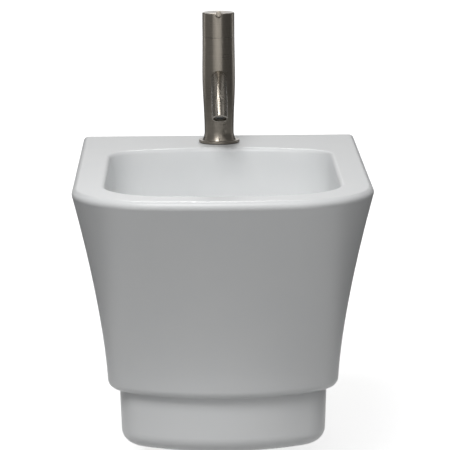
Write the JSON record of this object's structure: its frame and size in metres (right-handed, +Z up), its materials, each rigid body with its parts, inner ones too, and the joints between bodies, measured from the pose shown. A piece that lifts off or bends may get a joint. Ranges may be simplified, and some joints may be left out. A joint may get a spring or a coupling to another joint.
{
  "type": "wall-hung bidet",
  "caption": "Wall-hung ceramic bidet with a deep bowl and stepped foot, single-lever mixer with a slim sloping spout, click waste, overflow and bottle trap.",
  "frame": {"origin": "midway between the two wall-fixing holes, on the flat back face that lies against the wall", "axes": "+X to the right as the user sees the bidet from the front, +Y into the wall, +Z up; the user sits at -Y"},
  "size_m": [0.3598, 0.5487, 0.5178],
  "materials": {
    "glaze": "gloss white glaze on vitreous china",
    "brushed_nickel": "fine brushed nickel plating",
    "chrome_trim": "polished chrome plating",
    "raw_brass": "machined",
    "zinc_steel": "zinc plated",
    "plain_steel": "turned stainless steel",
    "black_rubber": "moulded, matt",
    "white_plastic": "moulded, satin",
    "cartridge_plastic": "moulded, satin",
    "dark_plastic": "moulded, satin",
    "alumina": "lapped"
  },
  "bodies": {
    "fixed": {"ceramic_body": "glaze", "overflow_ring": "chrome_trim", "fixing_sleeves": "white_plastic", "fixing_washers": "zinc_steel", "fixing_nuts": "zinc_steel", "mixer_column": "brushed_nickel", "spout_tube": "brushed_nickel", "base_ring": "brushed_nickel", "base_seal": "black_rubber", "mixer_stud": "raw_brass", "horseshoe_pad": "black_rubber", "horseshoe_plate": "zinc_steel", "stud_nut": "raw_brass", "aerator_ring": "brushed_nickel", "cartridge_housing": "cartridge_plastic", "fixed_disc": "alumina", "cartridge_nut": "raw_brass", "dome_cover": "brushed_nickel", "waste_seal": "black_rubber", "waste_body": "chrome_trim", "waste_gasket": "black_rubber", "waste_nut": "raw_brass", "plug_guide": "white_plastic", "trap_inlet_nut": "white_plastic", "trap_inlet_washer": "black_rubber", "trap_body": "white_plastic", "trap_cup": "white_plastic", "cup_seal": "black_rubber", "trap_outlet_nut": "white_plastic", "trap_outlet_washer": "black_rubber", "outlet_pipe": "white_plastic"},
    "carrier": {"cartridge_carrier": "cartridge_plastic", "spindle_pin": "plain_steel"},
    "handle": {"spindle": "plain_steel", "handle_cap": "brushed_nickel", "grub_screw": "plain_steel", "handle_lever": "brushed_nickel"},
    "disc": {"moving_disc": "alumina"},
    "aerator": {"aerator_ball": "dark_plastic", "aerator_insert": "dark_plastic"},
    "plug": {"plug_cap": "chrome_trim", "plug_seal": "black_rubber", "plug_stem": "dark_plastic"}
  },
  "joints": [
    {"name": "handle_turn", "type": "hinge", "parent": "fixed", "child": "carrier", "pos_m": [0, -0.062, 0.206], "axis": [0, 0, 1], "range_deg": [-45, 45]},
    {"name": "handle_lift", "type": "hinge", "parent": "carrier", "child": "handle", "pos_m": [0, -0.062, 0.206], "axis": [-1, 0, 0], "range_deg": [0, 20]},
    {"name": "disc_slide", "type": "slide", "parent": "carrier", "child": "disc", "axis": [0, -1, 0], "range_m": [0, 0.003]},
    {"name": "aerator_tilt", "type": "hinge", "parent": "fixed", "child": "aerator", "pos_m": [0, -0.16698, 0.12966], "axis": [1, 0, 0], "range_deg": [-12, 12]},
    {"name": "waste_plug", "type": "slide", "parent": "fixed", "child": "plug", "axis": [0, 0, 1], "range_m": [0, 0.008]}
  ],
  "couplings": [
    {"joint": "disc_slide", "follows": "handle_lift", "m_per_rad": 0.008426}
  ]
}
